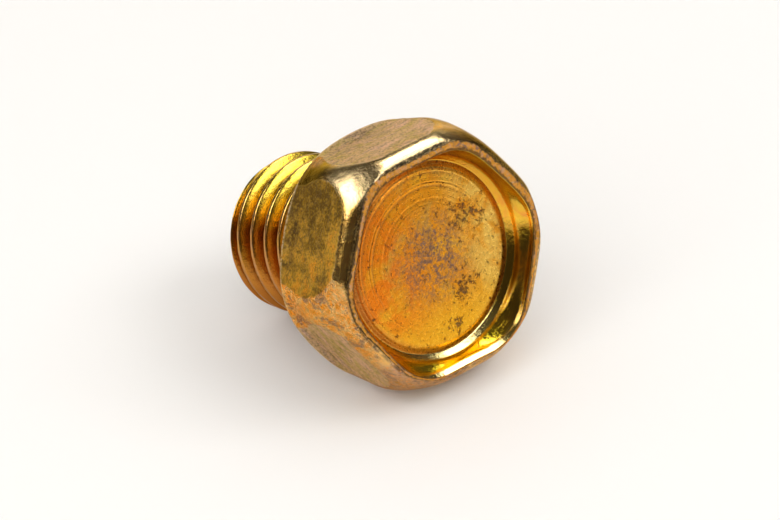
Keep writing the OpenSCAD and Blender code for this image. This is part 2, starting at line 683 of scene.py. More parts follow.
def place_effect(tree, group, place, **values):
    """Puts a node group into a material, with its values by name."""
    node = add_node(tree, "ShaderNodeGroup", node_tree=group)
    tree.links.new(place, node.inputs["Place"])
    for name, value in values.items():
        feed(tree, value, node.inputs[name])
    return node.outputs[0]


print("node group helpers ready")

# %% Film and grit
THIN_FILM = (0.34, 0.50)
THICK_FILM = (0.50, 0.66)
EVEN_GRAIN = (0.25, 0.75)


def film_effect():
    """Clouds of film colour: thin, middle and thick film."""
    group, start = new_effect("chromate_film", ["Scale"], ["Thin", "Middle", "Thick"])
    cloud = noise_value(group, start.outputs["Place"], start.outputs["Scale"],
                        detail=5.0, roughness=0.62, distortion=0.7)
    low = tint(group, span(group, cloud, *THIN_FILM), start.outputs["Thin"], start.outputs["Middle"])
    colour = tint(group, span(group, cloud, *THICK_FILM), low, start.outputs["Thick"])
    end_effect(group, "Colour", colour, "NodeSocketColor")
    return group


def grit_effect():
    """Fine even grain, for bumps and for breaking up a gloss."""
    group, start = new_effect("fine_grit", ["Scale"])
    grain = noise_value(group, start.outputs["Place"], start.outputs["Scale"], detail=4.0, roughness=0.7)
    end_effect(group, "Grain", span(group, grain, *EVEN_GRAIN), "NodeSocketFloat")
    return group


chromate_film = film_effect()
fine_grit = grit_effect()
print("effects", chromate_film.name, fine_grit.name)

# %% Specks and pits
SPECK_LEVEL = 0.72
SPECK_REACH = 0.45
SPECK_FADE = 0.1
PIT_GROUPS = 0.35
PIT_CROWD = (0.45, 0.7)
PIT_EDGE = (0.0, 0.12)


def speck_effect():
    """Small ragged specks over a share of the surface."""
    group, start = new_effect("ragged_specks", ["Scale", "Share"])
    grain = noise_value(group, start.outputs["Place"], start.outputs["Scale"],
                        detail=6.0, roughness=0.72, distortion=0.4)
    edge = maths(group, "SUBTRACT", SPECK_LEVEL, times(group, start.outputs["Share"], SPECK_REACH))
    mask = span(group, grain, edge, maths(group, "ADD", edge, SPECK_FADE))
    end_effect(group, "Mask", mask, "NodeSocketFloat")
    return group


def pit_effect():
    """Round pits of several sizes, in loose groups."""
    group, start = new_effect("small_pits", ["Scale", "Share"])
    cells = add_node(group, "ShaderNodeTexVoronoi")
    group.links.new(start.outputs["Place"], cells.inputs["Vector"])
    group.links.new(start.outputs["Scale"], cells.inputs["Scale"])
    crowd = noise_value(group, start.outputs["Place"], times(group, start.outputs["Scale"], PIT_GROUPS))
    reach = times(group, start.outputs["Share"], span(group, crowd, *PIT_CROWD))
    near = maths(group, "SUBTRACT", reach, cells.outputs["Distance"])
    end_effect(group, "Mask", span(group, near, *PIT_EDGE), "NodeSocketFloat")
    return group


ragged_specks = speck_effect()
small_pits = pit_effect()
print("effects", ragged_specks.name, small_pits.name)

# %% Helpers for finishes


def raise_bump(tree, shader, height, depth):
    """Feeds a height, in shares of a depth in millimetres, to the shader's normal."""
    bump = add_node(tree, "ShaderNodeBump")
    set_inputs(bump, Distance=depth * MM)
    tree.links.new(height, bump.inputs["Height"])
    tree.links.new(bump.outputs["Normal"], shader.inputs["Normal"])


def attribute_value(tree, name):
    """A number that was kept on the vertices."""
    return add_node(tree, "ShaderNodeAttribute", attribute_name=name).outputs["Fac"]


def height_value(tree, place):
    """Height above the seat, in millimetres."""
    split = add_node(tree, "ShaderNodeSeparateXYZ")
    tree.links.new(place, split.inputs["Vector"])
    return split.outputs["Z"]


def radius_value(tree, place):
    """Distance from the axis, in millimetres."""
    level = add_node(tree, "ShaderNodeVectorMath", operation="MULTIPLY")
    tree.links.new(place, level.inputs[0])
    level.inputs[1].default_value = (1, 1, 0)
    length = add_node(tree, "ShaderNodeVectorMath", operation="LENGTH")
    tree.links.new(level.outputs["Vector"], length.inputs[0])
    return length.outputs["Value"]


print("finish helpers ready")

# %% Helpers for masks
WEDGE_FULL = 1 / 3
SPOT_FULL = 0.1
NOISE_MIDDLE = 0.5


def across(tree, place, degrees):
    """Distance from the axis along one direction square to it, in millimetres."""
    node = add_node(tree, "ShaderNodeVectorMath", operation="DOT_PRODUCT")
    tree.links.new(place, node.inputs[0])
    turn = math.radians(degrees)
    node.inputs[1].default_value = (math.cos(turn), math.sin(turn), 0)
    return node.outputs["Value"]


def side_mask(tree, place, degrees, spread):
    """A soft wedge round the axis: 1 towards one side and 0 beyond its spread, in degrees."""
    facing = maths(tree, "DIVIDE", across(tree, place, degrees), radius_value(tree, place))
    full = math.cos(math.radians(spread * WEDGE_FULL))
    return span(tree, facing, math.cos(math.radians(spread)), full)


def patch_mask(tree, place, side, heights):
    """A wedge round the axis, given by its side and spread, that fades in over a range of heights."""
    return times(tree, side_mask(tree, place, *side), span(tree, height_value(tree, place), *heights))


def stretched(tree, place, amount):
    """The place with its height multiplied, so that a pattern runs long round the head."""
    node = add_node(tree, "ShaderNodeMapping")
    set_inputs(node, Scale=(1.0, 1.0, amount))
    tree.links.new(place, node.inputs["Vector"])
    return node.outputs["Vector"]


def ragged_value(tree, place, scale, amount):
    """Noise round zero, which makes the border of a mask ragged."""
    noise = noise_value(tree, place, scale, detail=4.0, roughness=0.65)
    return times(tree, maths(tree, "SUBTRACT", noise, NOISE_MIDDLE), amount)


def spots(tree, place, centres):
    """Soft round masks at named places, each given by its middle and its radius in millimetres."""
    mask = None
    for x, y, z, radius in centres:
        node = add_node(tree, "ShaderNodeVectorMath", operation="DISTANCE")
        tree.links.new(place, node.inputs[0])
        node.inputs[1].default_value = (x, y, z)
        spot = span(tree, node.outputs["Value"], radius, SPOT_FULL * radius)
        mask = spot if mask is None else maths(tree, "MAXIMUM", mask, spot)
    return mask


def speck_groups(tree, place, centres, scale, least, more):
    """Ragged specks, with a least share everywhere and more of them near the named places."""
    share = maths(tree, "ADD", times(tree, spots(tree, place, centres), more), least)
    return place_effect(tree, ragged_specks, place, Scale=scale, Share=share)


print("mask helpers ready")

# %% [markdown]
# ## Finish of the head's outside
# The die polishes the corners and the shoulder, so they are glossy and mirror the dark room as olive and
# the lamp as white. One corner and one bevel are painted pale as highlights, and the corners beside them
# are painted brown as shade. The flats have been handled and scuffed: they are matte, tan to olive brown,
# gritty and streaked along their length, and one that was rubbed less is still golden. Where the blank
# fell short of the die, its surface stayed raw: rough and bright orange with pink and violet specks and
# fine glints, and browner round the next corner. The foot of the side is painted pale as a highlight.
# These looks are made one after the other and mixed by masks, so that their borders are ragged as on the
# screw.

# %% Glossy corners
GLOSS_THIN = rgb(0.84, 0.53, 0.17)
GLOSS_MIDDLE = rgb(0.78, 0.45, 0.11)
GLOSS_THICK = rgb(0.70, 0.36, 0.07)
# Colours of the painted highlight and of the painted shade.
GLOSS_HIGHLIGHT = rgb(0.90, 0.66, 0.32)
GLOSS_SHADE = rgb(0.42, 0.26, 0.06)
HIGHLIGHT_CORNER = ((-152, 15), (1.2, 2.2))
HIGHLIGHT_BEVEL = ((178, 34), (3.0, 3.3))
SHADE_BESIDE_CORNER = ((-152, 40), (3.4, 3.0))
SHADE_CORNER = ((140, 45), (3.0, 2.2))
SHADE_BEVEL = ((116, 38), (2.4, 3.0))
COAT_HEIGHT = (HEAD_HEIGHT - 0.8, HEAD_HEIGHT - 0.4)
COAT_WEIGHT = (0.25, 0.8)
COAT_LEFT = (1.0, 0.1)


def corner_masks(tree, place):
    """Where a highlight is painted pale on the corners, and where shade is painted brown."""
    # One corner and one bevel are painted pale as highlights, and the corners round them brown as shade.
    corner = patch_mask(tree, place, *HIGHLIGHT_CORNER)
    pale = maths(tree, "MAXIMUM", corner, patch_mask(tree, place, *HIGHLIGHT_BEVEL))
    beside = patch_mask(tree, place, *SHADE_BESIDE_CORNER)
    brown = times(tree, beside, maths(tree, "SUBTRACT", 1.0, pale))
    for patch in (SHADE_CORNER, SHADE_BEVEL):
        brown = maths(tree, "MAXIMUM", brown, patch_mask(tree, place, *patch))
    return pale, brown


def gloss_colour(tree, place, pale, brown):
    """Gold film of the corners, with a painted pale highlight and painted brown shade."""
    colour = place_effect(tree, chromate_film, place, Scale=0.8,
                          Thin=GLOSS_THIN, Middle=GLOSS_MIDDLE, Thick=GLOSS_THICK)
    return tint(tree, brown, tint(tree, pale, colour, GLOSS_HIGHLIGHT), GLOSS_SHADE)


def gloss_coat(tree, place, pale, brown):
    """Weight of the clear film: most on the painted highlights and on the bevel, least on the painted
    shade.
    """
    bevel = span(tree, height_value(tree, place), *COAT_HEIGHT)
    full = maths(tree, "MAXIMUM", pale, bevel)
    return times(tree, between(tree, full, *COAT_WEIGHT), between(tree, brown, *COAT_LEFT))


print("gloss runs from", GLOSS_THIN[:3], "to", GLOSS_THICK[:3])

# %% Golden flat
GOLDEN_FLAT = -120
ALONG_GOLDEN = GOLDEN_FLAT + 90
FLAT_GOLD = rgb(0.70, 0.38, 0.05)
FLAT_ORANGE = rgb(0.84, 0.37, 0.04)
FLAT_BROWN = rgb(0.20, 0.11, 0.02)
FLAT_SMEAR = rgb(0.15, 0.085, 0.02)
GOLDEN_RAGGED = 12.0
GOLDEN_SLANT = 0.5
BROWN_TO_GOLD = (-1.4, 1.8)
GOLD_TO_ORANGE = (1.8, 3.4)
SMEARS = (0.5, 0.64, 0.0, 0.75)


def golden_colour(tree, place):
    """The flat that was rubbed less: olive brown at one end and orange gold at the other."""
    along = across(tree, place, ALONG_GOLDEN)
    along = maths(tree, "ADD", along, ragged_value(tree, place, scale=1.6, amount=GOLDEN_RAGGED))
    along = maths(tree, "ADD", along, times(tree, height_value(tree, place), GOLDEN_SLANT))
    colour = tint(tree, span(tree, along, *BROWN_TO_GOLD), FLAT_BROWN, FLAT_GOLD)
    colour = tint(tree, span(tree, along, *GOLD_TO_ORANGE), colour, FLAT_ORANGE)
    smears = noise_value(tree, place, scale=1.3, detail=5.0, roughness=0.62, distortion=0.8)
    return tint(tree, span(tree, smears, *SMEARS), colour, FLAT_SMEAR)


print("golden flat runs from", FLAT_BROWN[:3], "to", FLAT_ORANGE[:3])

# %% Scuffed flats
SCUFF_PINK = rgb(0.84, 0.55, 0.40)
SCUFF_TAN = rgb(0.72, 0.48, 0.25)
SCUFF_OLIVE = rgb(0.58, 0.43, 0.12)
SCUFF_STREAK = rgb(0.36, 0.24, 0.16)
SCUFF_DARK = rgb(0.13, 0.08, 0.035)
# Pale zinc: bare spots on the flats, and the painted highlight along the foot of the side.
BARE_ZINC_AND_HIGHLIGHT = rgb(0.82, 0.62, 0.36)
FLAT_BRIGHT = rgb(0.80, 0.50, 0.10)
KNOCKS = [
    (-3.87, -3.19, 1.5, 0.55),
    (-3.45, -3.43, 2.1, 0.4),
    (-1.30, -4.68, 2.6, 0.45),
    (-2.20, -4.15, 0.9, 0.4),
]
KNOCK_AMOUNT = 0.65
GRAIN_LONG, FILM_LONG, STREAK_LONG = 1.4, 2.6, 6.0
GRAIN_EDGE = (0.33, 0.67)
GOLDEN_FACE = (4.4, 4.66)
STREAK_EDGE = (0.5, 0.64)
STREAK_AMOUNT = (0.65, 0.15)
GRAIN_DIRT = (0.5, 1.0, 0.0, 0.6)
GRAIN_BARE = (0.45, 0.0, 0.0, 0.4)


def flat_grain(tree, place):
    """Fine grit of the scuffed flats, a little longer round the head than along it."""
    grain = noise_value(tree, stretched(tree, place, GRAIN_LONG), scale=10.0, detail=4.0, roughness=0.7)
    return span(tree, grain, *GRAIN_EDGE)


def scuff_colour(tree, place, grain, knocks):
    """Matte film of the flats, with streaks, grit, bare zinc and knocks."""
    colour = place_effect(tree, chromate_film, stretched(tree, place, FILM_LONG), Scale=1.0,
                          Thin=SCUFF_PINK, Middle=SCUFF_TAN, Thick=SCUFF_OLIVE)
    golden = span(tree, across(tree, place, GOLDEN_FLAT), *GOLDEN_FACE)
    colour = tint(tree, golden, colour, golden_colour(tree, place))
    long = stretched(tree, place, STREAK_LONG)
    streaks = noise_value(tree, long, scale=1.1, detail=5.0, roughness=0.65)
    streaks = times(tree, span(tree, streaks, *STREAK_EDGE), between(tree, golden, *STREAK_AMOUNT))
    colour = tint(tree, streaks, colour, SCUFF_STREAK)
    colour = tint(tree, span(tree, grain, *GRAIN_DIRT), colour, SCUFF_DARK)
    bare = tint(tree, golden, BARE_ZINC_AND_HIGHLIGHT, FLAT_BRIGHT)
    colour = tint(tree, span(tree, grain, *GRAIN_BARE), colour, bare)
    return tint(tree, times(tree, knocks, KNOCK_AMOUNT), colour, SCUFF_DARK)


print("flats run from", SCUFF_PINK[:3], "to", SCUFF_OLIVE[:3], "with", len(KNOCKS), "knocks")

# %% Raw side and worn corner
RAW_ORANGE = rgb(0.98, 0.35, 0.025)
RAW_PINK = rgb(1.0, 0.59, 0.20)
RAW_BRIGHT = rgb(1.0, 0.80, 0.40)
RAW_VIOLET = rgb(0.27, 0.14, 0.11)
RAW_MIX = (0.4, 0.6)
RAW_PATCHES = (0.42, 0.6, 0.28, 0.66)
VIOLET_AMOUNT = 0.75
GLINT_AMOUNT = 0.7
WORN_BROWN = rgb(0.46, 0.25, 0.08)
WORN_PINK = rgb(0.60, 0.36, 0.20)
WORN_MAUVE = rgb(0.30, 0.19, 0.14)
WORN_ORANGE_AMOUNT = 0.7


def raw_colour(tree, place):
    """Orange skin of the raw side, with violet specks and glints."""
    fine = noise_value(tree, place, scale=4.0, detail=6.0, roughness=0.75)
    colour = tint(tree, span(tree, fine, *RAW_MIX), RAW_ORANGE, RAW_PINK)
    patches = span(tree, noise_value(tree, place, scale=1.6, detail=4.0), *RAW_PATCHES)
    specks = place_effect(tree, ragged_specks, place, Scale=4.0, Share=patches)
    colour = tint(tree, times(tree, specks, VIOLET_AMOUNT), colour, RAW_VIOLET)
    glints = place_effect(tree, ragged_specks, place, Scale=11.0, Share=0.38)
    return tint(tree, times(tree, glints, GLINT_AMOUNT), colour, RAW_BRIGHT)


def worn_colour(tree, place):
    """Brown film of the worn corner, with orange specks."""
    colour = place_effect(tree, chromate_film, place, Scale=3.5,
                          Thin=WORN_BROWN, Middle=WORN_PINK, Thick=WORN_MAUVE)
    specks = place_effect(tree, ragged_specks, place, Scale=8.0, Share=0.45)
    return tint(tree, times(tree, specks, WORN_ORANGE_AMOUNT), colour, RAW_ORANGE)


print("raw side", RAW_ORANGE[:3], "worn corner", WORN_BROWN[:3])

# %% Masks of the head
RAW_SIDE = -76
RAW_FACE = (4.1, 4.5)
RAW_RAGGED = 0.7
RAW_SPOT = [(-4.66, -2.07, 0.5, 0.8)]
RAW_SPOT_EDGE = (0.3, 0.8)
RAW_SPOT_AMOUNT = 0.7
WORN_SIDE = (-28, 32)
WORN_EDGE = (0.2, 0.8)
FLAT_EDGE = (0.3, 0.7)


def head_masks(tree, place):
    """Where the head is flat, where it is raw and where it is worn, with ragged borders."""
    ragged = ragged_value(tree, place, scale=4.0, amount=0.9)
    flat = maths(tree, "ADD", attribute_value(tree, "flat_share"), ragged)
    raw = maths(tree, "ADD", across(tree, place, RAW_SIDE), times(tree, ragged, RAW_RAGGED))
    spot = span(tree, maths(tree, "ADD", spots(tree, place, RAW_SPOT), ragged), *RAW_SPOT_EDGE)
    raw = maths(tree, "MAXIMUM", span(tree, raw, *RAW_FACE), times(tree, spot, RAW_SPOT_AMOUNT))
    worn = maths(tree, "ADD", side_mask(tree, place, *WORN_SIDE), ragged)
    return span(tree, flat, *FLAT_EDGE), raw, span(tree, worn, *WORN_EDGE)


print("raw side at", RAW_SIDE, "degrees, worn corner at", WORN_SIDE[0])

# %% Relief of the head
DENT_DEPTH = 0.6
GRIT_RISE = 0.35
RELIEF_AMOUNT = (0.13, 1.0)
RAW_RELIEF = 2.0
WAVE_RISE = 0.8
HEAD_BUMP = 0.024


def head_relief(tree, place, grit, low, raw, dull):
    """Heights of grit and marks, strong where the head is dull, over a slow wave."""
    relief = maths(tree, "SUBTRACT", times(tree, grit, GRIT_RISE), low)
    relief = times(tree, relief, between(tree, dull, *RELIEF_AMOUNT))
    relief = maths(tree, "ADD", relief, times(tree, times(tree, raw, grit), RAW_RELIEF))
    wave = times(tree, noise_value(tree, place, scale=1.4), WAVE_RISE)
    return maths(tree, "ADD", relief, wave)


print("head's bump is", HEAD_BUMP, "mm deep")

# %% Head finish
SEAT_HIGHLIGHT = (0.14, 0.06)
SEAT_HIGHLIGHT_GRIT = (0.2, 0.7)
RIM_DIRT = (HEAD_HEIGHT - 0.11, HEAD_HEIGHT - 0.04)
DIRT_GRIT = (0.1, 0.7)
DIRT_AMOUNT = 0.8
ROUGH_SIDE = 0.45
HEAD_ROUGHNESS = (0.08, 0.34)
HEAD_UNEVEN = (0.08, 0.14)
COAT_FADE = (0.6, 0.0)


def head_finish():
    """Glossy corners, scuffed flats, the raw side and the worn corner in one material."""
    material, tree, shader = new_finish("head_finish")
    place = drawing_place(tree)
    height = height_value(tree, place)
    grit = place_effect(tree, fine_grit, place, Scale=9.0)
    grain = flat_grain(tree, place)
    knocks = speck_groups(tree, place, KNOCKS, scale=3.4, least=0.34, more=0.22)
    flat, raw, worn = head_masks(tree, place)
    pale, brown = corner_masks(tree, place)
    smooth = tint(tree, raw, gloss_colour(tree, place, pale, brown), raw_colour(tree, place))
    smooth = tint(tree, worn, smooth, worn_colour(tree, place))
    colour = tint(tree, flat, smooth, scuff_colour(tree, place, grain, knocks))
    # The foot of the side is painted pale zinc as a highlight on its rounded edge.
    seat_highlight = times(tree, span(tree, height, *SEAT_HIGHLIGHT), span(tree, grit, *SEAT_HIGHLIGHT_GRIT))
    colour = tint(tree, seat_highlight, colour, BARE_ZINC_AND_HIGHLIGHT)
    dirt = times(tree, span(tree, height, *RIM_DIRT), span(tree, grit, *DIRT_GRIT))
    colour = tint(tree, times(tree, dirt, DIRT_AMOUNT), colour, SCUFF_DARK)
    tree.links.new(colour, shader.inputs["Base Color"])
    dull = maths(tree, "MAXIMUM", flat, times(tree, maths(tree, "MAXIMUM", raw, worn), ROUGH_SIDE))
    uneven = times(tree, grit, between(tree, dull, *HEAD_UNEVEN))
    roughness = maths(tree, "ADD", between(tree, dull, *HEAD_ROUGHNESS), uneven)
    tree.links.new(roughness, shader.inputs["Roughness"])
    coat = times(tree, gloss_coat(tree, place, pale, brown), span(tree, dull, *COAT_FADE))
    tree.links.new(coat, shader.inputs["Coat Weight"])
    dents = place_effect(tree, small_pits, place, Scale=2.6, Share=0.42)
    low = maths(tree, "ADD", grain, times(tree, maths(tree, "MAXIMUM", dents, knocks), DENT_DEPTH))
    raise_bump(tree, shader, head_relief(tree, place, grit, low, raw, dull), HEAD_BUMP)
    return material


print("head's roughness runs from", HEAD_ROUGHNESS[0], "to", HEAD_ROUGHNESS[1])

# %% [markdown]
# ## Finish of the rim
# The land round the dish is where the screw was handled and knocked: its film is thin, pinkish brown and
# rough, with grey zinc showing through in specks and dirt along both edges. On one side the dark outer
# line is widened as painted shade. A vertex attribute that runs across the land keeps the dirt at its
# edges, and noise added to it makes the lines ragged.

# %% Rim finish
RIM_PINK = rgb(0.74, 0.38, 0.18)
RIM_ORANGE = rgb(0.82, 0.37, 0.05)
RIM_MAUVE = rgb(0.32, 0.18, 0.13)
RIM_ZINC = rgb(0.60, 0.46, 0.34)
SHADED_EDGE_SIDE = (-95, 60)
SHADED_EDGE_SPREAD = 0.15
OUTER_DIRT = (0.16, 0.0)
INNER_DIRT = (0.66, 0.82)
INNER_FADE = (1.2, 1.0)
INNER_AMOUNT = 0.8
RIM_ROUGHNESS = (0.26, 0.52)
RIM_BUMP = 0.04


def rim_finish():
    """Knocked film of the land, with dirt along both edges."""
    material, tree, shader = new_finish("rim_finish")
    place = drawing_place(tree)
    colour = place_effect(tree, chromate_film, place, Scale=3.6,
                          Thin=RIM_PINK, Middle=RIM_ORANGE, Thick=RIM_MAUVE)
    zinc = place_effect(tree, ragged_specks, place, Scale=8.0, Share=0.36)
    colour = tint(tree, zinc, colour, RIM_ZINC)
    ragged = ragged_value(tree, place, scale=6.0, amount=1.2)
    land = maths(tree, "ADD", attribute_value(tree, "land_share"), ragged)
    # On one side the dark outer line is widened as painted shade.
    spread = times(tree, side_mask(tree, place, *SHADED_EDGE_SIDE), SHADED_EDGE_SPREAD)
    outer = span(tree, maths(tree, "SUBTRACT", land, spread), *OUTER_DIRT)
    inner = times(tree, span(tree, land, *INNER_DIRT), span(tree, land, *INNER_FADE))
    dirt = maths(tree, "MAXIMUM", outer, times(tree, inner, INNER_AMOUNT))
    colour = tint(tree, dirt, colour, SCUFF_DARK)
    tree.links.new(colour, shader.inputs["Base Color"])
    grit = place_effect(tree, fine_grit, place, Scale=6.0)
    tree.links.new(between(tree, grit, *RIM_ROUGHNESS), shader.inputs["Roughness"])
    raise_bump(tree, shader, maths(tree, "SUBTRACT", grit, dirt), RIM_BUMP)
    return material


print("rim runs from", RIM_PINK[:3], "to", RIM_MAUVE[:3])

# %% [markdown]
# ## Finish of the dish's wall
# The wall was wiped by the punch and stayed clean, so its film is thick, clear and glossy: yellow gold
# that runs into orange and rose. It is lemon yellow on the low side, with painted highlights in pale
# yellow at the foot and the top there. On the right it is painted brown as shade, and towards the top
# olive over amber as shade. A painted map could hold these tints, but three soft wedges round the axis
# need no unwrapping and stay in place when the shape changes.

# %% Wall finish
WALL_YELLOW = rgb(0.92, 0.60, 0.05)
WALL_GOLD = rgb(0.86, 0.46, 0.03)
WALL_ROSE = rgb(0.84, 0.31, 0.04)
WALL_LEMON = rgb(0.94, 0.72, 0.04)
# Colours of the painted highlight and of the painted shade on the wall.
WALL_HIGHLIGHT = rgb(0.95, 0.76, 0.30)
WALL_SHADE_BROWN = rgb(0.34, 0.185, 0.014)
SHADE_OLIVE = rgb(0.38, 0.28, 0.02)
SHADE_AMBER = rgb(0.68, 0.34, 0.015)
LEMON_SIDE = (-4, 48)
LEMON_AMOUNT = 0.9
SHADE_BROWN_SIDE = (58, 34)
SHADED_SIDE = (138, 50)
SHADED_AMOUNT = 0.85
HIGHLIGHT_FOOT = (GROOVE_Z + 0.3, GROOVE_Z + 0.15)
HIGHLIGHT_TOP = (HEAD_HEIGHT - 0.3, HEAD_HEIGHT - 0.15)
UPPER_WALL = (FLOOR_Z - 0.1, FLOOR_Z + 0.2)
WALL_ROUGHNESS = (0.08, 0.18)
WALL_BUMP = 0.006


def wall_finish():
    """Clear glossy film of the wall, tinted side by side, with painted highlights and painted shade."""
    material, tree, shader = new_finish("wall_finish")
    place = drawing_place(tree)
    height = height_value(tree, place)
    colour = place_effect(tree, chromate_film, place, Scale=0.9,
                          Thin=WALL_YELLOW, Middle=WALL_GOLD, Thick=WALL_ROSE)
    lemon = side_mask(tree, place, *LEMON_SIDE)
    colour = tint(tree, times(tree, lemon, LEMON_AMOUNT), colour, WALL_LEMON)
    # On the right the wall is painted brown as shade.
    brown = times(tree, side_mask(tree, place, *SHADE_BROWN_SIDE), SHADED_AMOUNT)
    colour = tint(tree, brown, colour, WALL_SHADE_BROWN)
    # At the foot and the top of the low side the wall is painted pale as a highlight.
    ends = maths(tree, "MAXIMUM", span(tree, height, *HIGHLIGHT_FOOT), span(tree, height, *HIGHLIGHT_TOP))
    colour = tint(tree, times(tree, ends, lemon), colour, WALL_HIGHLIGHT)
    # Towards the top the wall is painted olive over amber as shade.
    shaded = times(tree, side_mask(tree, place, *SHADED_SIDE), SHADED_AMOUNT)
    upper = span(tree, height, *UPPER_WALL)
    colour = tint(tree, shaded, colour, tint(tree, upper, SHADE_AMBER, SHADE_OLIVE))
    tree.links.new(colour, shader.inputs["Base Color"])
    grit = place_effect(tree, fine_grit, place, Scale=5.0)
    tree.links.new(between(tree, grit, *WALL_ROUGHNESS), shader.inputs["Roughness"])
    set_inputs(shader, Coat_Weight=0.4, Coat_Roughness=0.08)
    raise_bump(tree, shader, maths(tree, "ADD", grit, noise_value(tree, place, scale=1.6)), WALL_BUMP)
    return material


print("wall runs from", WALL_LEMON[:3], "to", WALL_SHADE_BROWN[:3])

# %% [markdown]
# ## Finish of the dish's floor
# The floor shows the fine rings of the turned punch. Its film is orange gold, redder on one side and pale
# on the other, and the middle is clouded grey and violet where water stood. A few dark pits and smears
# lie where the photo has them. The rings are noise of the distance from the axis alone, so they stay
# round and their spacing is as uneven as a tool's marks.

# %% Film on the floor
FLOOR_GOLD = rgb(0.92, 0.44, 0.03)
FLOOR_AMBER = rgb(0.86, 0.33, 0.018)
FLOOR_OCHRE = rgb(0.76, 0.39, 0.05)
FLOOR_RED = rgb(0.90, 0.24, 0.015)
FLOOR_PALE = rgb(0.94, 0.59, 0.12)
FLOOR_YELLOW = rgb(0.96, 0.50, 0.03)
FLOOR_EDGE = rgb(0.52, 0.22, 0.05)
PALE_FLOOR_SIDE = 90
LOW_FLOOR_SIDE = 0
RED_REACH = (0.4, -2.2)
RED_CLOUD = (0.35, 0.58)
PALE_REACH = (0.6, 3.0)
PALE_CLOUD = (0.3, 0.6)
YELLOW_REACH = (1.0, 3.2, 0.0, 0.8)
EDGE_REACH = (FLOOR_R - 0.35, FLOOR_R + 0.05, 0.0, 0.8)


def floor_film(tree, place):
    """Orange gold film, red towards one side, pale towards the other and brown at the rolled edge."""
    side = across(tree, place, PALE_FLOOR_SIDE)
    cloud = noise_value(tree, place, scale=1.1, detail=4.0, roughness=0.6, distortion=0.6)
    colour = place_effect(tree, chromate_film, place, Scale=0.6,
                          Thin=FLOOR_GOLD, Middle=FLOOR_AMBER, Thick=FLOOR_OCHRE)
    red = times(tree, span(tree, side, *RED_REACH), span(tree, cloud, *RED_CLOUD))
    colour = tint(tree, red, colour, FLOOR_RED)
    pale = times(tree, span(tree, side, *PALE_REACH), span(tree, cloud, *PALE_CLOUD))
    colour = tint(tree, pale, colour, FLOOR_PALE)
    low = span(tree, across(tree, place, LOW_FLOOR_SIDE), *YELLOW_REACH)
    colour = tint(tree, low, colour, FLOOR_YELLOW)
    edge = span(tree, radius_value(tree, place), *EDGE_REACH)
    return tint(tree, edge, colour, FLOOR_EDGE)


print("floor runs from", FLOOR_RED[:3], "to", FLOOR_PALE[:3])

# %% Stains on the floor
FLOOR_CLOUD = rgb(0.26, 0.145, 0.09)
FLOOR_PIT = rgb(0.09, 0.06, 0.045)
STAINS = [
    (-1.1, 1.9, FLOOR_Z, 1.0),
    (-0.7, 2.6, FLOOR_Z, 0.6),
    (1.7, 0.9, FLOOR_Z, 0.7),
    (2.8, 0.3, FLOOR_Z, 0.55),
    (1.5, 1.6, FLOOR_Z, 0.5),
]
HAZE_REACH = (2.6, 0.3)
HAZE_CLOUD = (0.4, 0.66, 0.0, 0.55)
MOTTLE_AMOUNT = 0.8


def haze_mask(tree, place):
    """Grey clouds and fine mottling in the middle of the floor."""
    middle = span(tree, radius_value(tree, place), *HAZE_REACH)
    cloud = noise_value(tree, place, scale=1.5, detail=5.0, roughness=0.65, distortion=0.8)
    mottle = place_effect(tree, ragged_specks, place, Scale=8.5, Share=0.58)
    mottle = times(tree, mottle, MOTTLE_AMOUNT)
    return times(tree, middle, maths(tree, "ADD", span(tree, cloud, *HAZE_CLOUD), mottle))


print("floor has", len(STAINS), "groups of stains")

# %% Rings on the floor
RING_SCALE = 8.0
RING_WANDER = 0.1
RING_EDGE = (0.36, 0.64)
RING_SIDE = 215
RING_SIDE_REACH = (-1.8, 2.6, 0.15, 1.0)
RING_REACH = (1.2, 3.2)


def ring_height(tree, place):
    """Turning rings, strongest towards one side of the floor."""
    radius = radius_value(tree, place)
    wander = times(tree, noise_value(tree, place, scale=0.8), RING_WANDER)
    line = add_node(tree, "ShaderNodeCombineXYZ")
    tree.links.new(maths(tree, "ADD", radius, wander), line.inputs["X"])
    rings = noise_value(tree, line.outputs["Vector"], RING_SCALE, detail=2.0)
    side = span(tree, across(tree, place, RING_SIDE), *RING_SIDE_REACH)
    strength = times(tree, side, span(tree, radius, *RING_REACH))
    return times(tree, span(tree, rings, *RING_EDGE), strength)


print("rings have a scale of", RING_SCALE, "per millimetre")

# %% Floor finish
RING_DARK = (0.3, 1.0, 0.0, 0.5)
STAIN_AMOUNT = 0.8
FLOOR_GRIT = 0.3
FLOOR_ROUGHNESS = (0.22, 0.38)
FLOOR_BUMP = 0.016


def floor_finish():
    """Film, haze, rings and stains of the floor."""
    material, tree, shader = new_finish("floor_finish")
    place = drawing_place(tree)
    stains = speck_groups(tree, place, STAINS, scale=5.5, least=0.30, more=0.27)
    rings = ring_height(tree, place)
    colour = tint(tree, haze_mask(tree, place), floor_film(tree, place), FLOOR_CLOUD)
    colour = tint(tree, span(tree, rings, *RING_DARK), colour, FLOOR_EDGE)
    colour = tint(tree, times(tree, stains, STAIN_AMOUNT), colour, FLOOR_PIT)
    tree.links.new(colour, shader.inputs["Base Color"])
    grit = place_effect(tree, fine_grit, place, Scale=7.0)
    tree.links.new(between(tree, grit, *FLOOR_ROUGHNESS), shader.inputs["Roughness"])
    height = maths(tree, "SUBTRACT", times(tree, grit, FLOOR_GRIT), rings)
    raise_bump(tree, shader, maths(tree, "SUBTRACT", height, stains), FLOOR_BUMP)
    return material


print("floor's bump is", FLOOR_BUMP, "mm deep")

